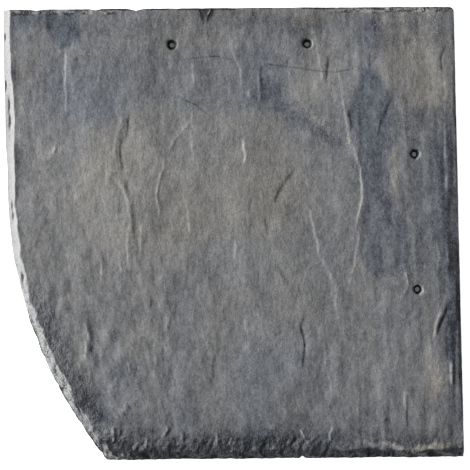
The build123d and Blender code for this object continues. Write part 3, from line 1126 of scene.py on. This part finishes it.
def attribute(tree, name):
    """The number stored on the points under this name."""
    return node(tree, "ShaderNodeAttribute", attribute_name=name).outputs["Fac"]


def dress(tree, shader, colour, roughness, height, depth):
    """Link the colour, the roughness, and the height as bump of this depth in metres."""
    bump = node(tree, "ShaderNodeBump", Strength=1.0, Distance=depth)
    links = ((colour, shader.inputs["Base Color"]), (roughness, shader.inputs["Roughness"]),
             (height, bump.inputs["Height"]), (bump.outputs["Normal"], shader.inputs["Normal"]))
    for output, socket in links:
        tree.links.new(output, socket)


# %% [markdown]
# ## The stone's finish
# One tone number drives the colour: a ramp runs from wet blue-black slate over plain grey to
# dusty pale grey. The patches, the grain and the specks are all added into that number, so
# dark places are bluish and pale places brownish, as on the real stone. Painted light and
# shade along the ridges and steps go into it too. Broken stone is powdery, so the edge mixes
# towards a chalky grey, and the same chalk paints a highlight on the crater lips. The nail
# holes are painted near black as shade. The roughness follows the same tone.

# %% Riven face
WARM, COLD = (1.10, 1.0, 0.84), (0.86, 0.98, 1.16)
# The chalk grey also paints highlight, and the near-black hole colour is painted shade.
GRIT, CHALK_AND_HIGHLIGHT, HOLE_SHADE = (0.35, 0.33, 0.275), (0.275, 0.276, 0.274), (0.012, 0.012, 0.013)


def face_material():
    """Base colour from a ramp over tone, grain and the painted light and shade along the lines,
    then tinted, with warm grit, chalk on broken stone that also paints highlight, and painted
    shade near black in the craters; roughness from the same level; bump from the grain, and
    crumbs where the stone is crumbly."""
    material, tree, shader, coords = new_material("weathered slate", specular=0.35)
    tone, tint, painted_line_light, dust, chalk_and_highlight, torn, crumbly, pit, scratch, scratched = (
        attribute(tree, name) for name in face_marks
    )
    streaks = add_grain(tree, coords, 2.0, 4.5, 2.0, 2.0)
    lumps = add_grain(tree, coords, 3.0, 3.4, 3.0, 2.0)
    fibres = add_grain(tree, coords, 0.95, 1.10, 1.0, 1.0)
    mottle = add_grain(tree, coords, 8.0, 11.0, 8.0, 4.0)
    specks = add_grain(tree, coords, 0.60, 0.62, 0.6, 1.0)

    line = positive(tree, weighted(tree, 1.0, (maths(tree, "ABSOLUTE", scratch), -1.1)))
    # Painted light and shade along the ridges and steps go into the level.
    level = weighted(tree, 0.453, (tone, 0.34), (painted_line_light, 0.85))
    level = weighted(tree, level, (maths(tree, "MULTIPLY", line, scratched), -0.30))
    level = weighted(tree, level, (streaks, 0.14), (fibres, 0.52), (lumps, 0.45))
    level = weighted(tree, level, (mottle, 0.55), (specks, 0.40))
    colour = mixed(tree, positive(tree, tint), tone_ramp(tree, level), WARM, "MULTIPLY")
    colour = mixed(tree, positive(tree, maths(tree, "MULTIPLY", tint, -1.0)), colour, COLD, "MULTIPLY")

    grit = weighted(tree, specks, (fibres, 0.5))
    grit = maths(tree, "SUBTRACT", grit, weighted(tree, 0.23, (dust, -0.15)))
    colour = mixed(tree, maths(tree, "MULTIPLY", grit, 6.0), colour, GRIT)
    veins = maths(tree, "ABSOLUTE", add_grain(tree, coords, 6.0, 2.6, 4.0, 2.0))
    crack = positive(tree, weighted(tree, 1.0, (veins, -60.0)))
    patchy = weighted(tree, -0.26, (fibres, 1.0), (lumps, 2.4))
    powder = weighted(tree, 0.95, (crack, -0.5), (fibres, 1.6), (torn, patchy))
    # The chalk grey, with its painted highlight on crater lips and the upper bevel.
    colour = mixed(tree, maths(tree, "MULTIPLY", chalk_and_highlight, powder), colour, CHALK_AND_HIGHLIGHT)
    # Near black in the nail holes: painted shade.
    colour = mixed(tree, pit, colour, HOLE_SHADE)

    crumbs = weighted(tree, 0.0, (fibres, 0.25), (lumps, 0.65))
    height = weighted(tree, 0.0, (specks, 0.05), (streaks, 0.12), (lumps, 0.28))
    height = weighted(tree, height, (fibres, 0.09), (crumbly, crumbs))
    dress(tree, shader, colour, weighted(tree, 0.62, (level, 0.20)), height, depth=0.0014)
    return material


# %% [markdown]
# The rim and the walls of the nail holes cross the cleavage. They take the same grain and
# ramp, and thin leaves of lighter and darker stone show on them.

# %% Split edge
def edge_material():
    """Base colour from the ramp over leaves that are thin through the slate; bump from them."""
    material, tree, shader, coords = new_material("split edge", specular=0.30)
    leaves = add_grain(tree, coords, 9.0, 9.0, 0.35, 3.0)
    lumps = add_grain(tree, coords, 3.0, 3.4, 3.0, 3.0)
    specks = add_grain(tree, coords, 0.60, 0.62, 0.6, 1.0)
    level = weighted(tree, 0.46, (leaves, 1.1), (lumps, 0.6), (specks, 0.8))
    # Near black in the nail holes: painted shade.
    colour = mixed(tree, attribute(tree, "pit"), tone_ramp(tree, level), HOLE_SHADE)
    height = weighted(tree, 0.0, (lumps, 0.35), (leaves, 0.45))
    dress(tree, shader, colour, weighted(tree, 0.60, (level, 0.20)), height, depth=0.0012)
    return material


mesh.materials.append(face_material())
mesh.materials.append(edge_material())
mesh.polygons.foreach_set("material_index", edge_faces.astype(np.int32))
print("faces of split edge:", edge_faces.sum())

# %% [markdown]
# ## Floor, light and camera
# The floor is nearly white, and glows a little so that shadows on it stay pale. The part
# below the nail holes is a darker sheet that glows less: painted shade for the paper under
# the slate. One wide soft light stands low on the left, so the broken left edge shines, the
# ridges show, and the craters stay dark but for a crescent, which the finish also paints.
# A second light and the world only lift the shadows. The camera looks straight down from 0.9 m.

# %% Floor
def square(low, high):
    """Corners of a level square, anticlockwise."""
    return [(low, low, 0), (high, low, 0), (high, high, 0), (low, high, 0)]


BELOW_SLATE = -0.0002
GLOW_COLOUR = (0.95, 0.97, 1.0, 1)
floor_mesh = bpy.data.meshes.new("floor")
sides = [(i, (i + 1) % 4, (i + 1) % 4 + 4, i + 4) for i in range(4)]
floor_mesh.from_pydata(square(-3, 3) + square(-0.07, 0.14), [], [*sides, (4, 5, 6, 7)])
floor = add_object("floor", floor_mesh, (0, 0, BELOW_SLATE))
# The second, darker sheet under the slate is painted shade; it is seen only through the nail holes.
for name, grey, glow in (("white paper", 0.93, 0.75), ("painted shade paper", 0.22, 0.045)):
    paper = bpy.data.materials.new(name)
    paper.use_nodes = True
    shader = paper.node_tree.nodes["Principled BSDF"]
    shader.inputs["Base Color"].default_value = (grey, grey, grey, 1)
    shader.inputs["Roughness"].default_value = 0.9
    shader.inputs["Emission Color"].default_value = GLOW_COLOUR
    shader.inputs["Emission Strength"].default_value = glow
    floor_mesh.materials.append(paper)
floor_mesh.polygons[4].material_index = 1
print("floor materials:", len(floor_mesh.materials))


# %% Lights
def soft_light(name, place, size, power):
    """A square area light that looks at the middle of the slate."""
    lamp = bpy.data.lights.new(name, "AREA")
    lamp.energy, lamp.size = power, size
    add_object(name, lamp, place).rotation_euler = Vector(place).to_track_quat("Z", "Y").to_euler()


soft_light("key", place=(-3.6, 0.65, 1.45), size=1.3, power=330)
soft_light("top", place=(0.0, 0.0, 1.7), size=0.5, power=8)
WORLD_STRENGTH = 0.06
world = bpy.data.worlds.new("studio")
world.use_nodes = True
world.node_tree.nodes["Background"].inputs["Color"].default_value = (1, 1, 1, 1)
world.node_tree.nodes["Background"].inputs["Strength"].default_value = WORLD_STRENGTH
bpy.context.scene.world = world

# %% Camera
FOCAL_LENGTH, SENSOR_WIDTH = 103.7, 36
CAMERA_PLACE = (0.0011, -0.0008, 0.904)
lens = bpy.data.cameras.new("camera")
lens.lens, lens.sensor_width = FOCAL_LENGTH, SENSOR_WIDTH
bpy.context.scene.camera = add_object("camera", lens, CAMERA_PLACE)
bpy.context.scene.view_settings.view_transform = "Standard"
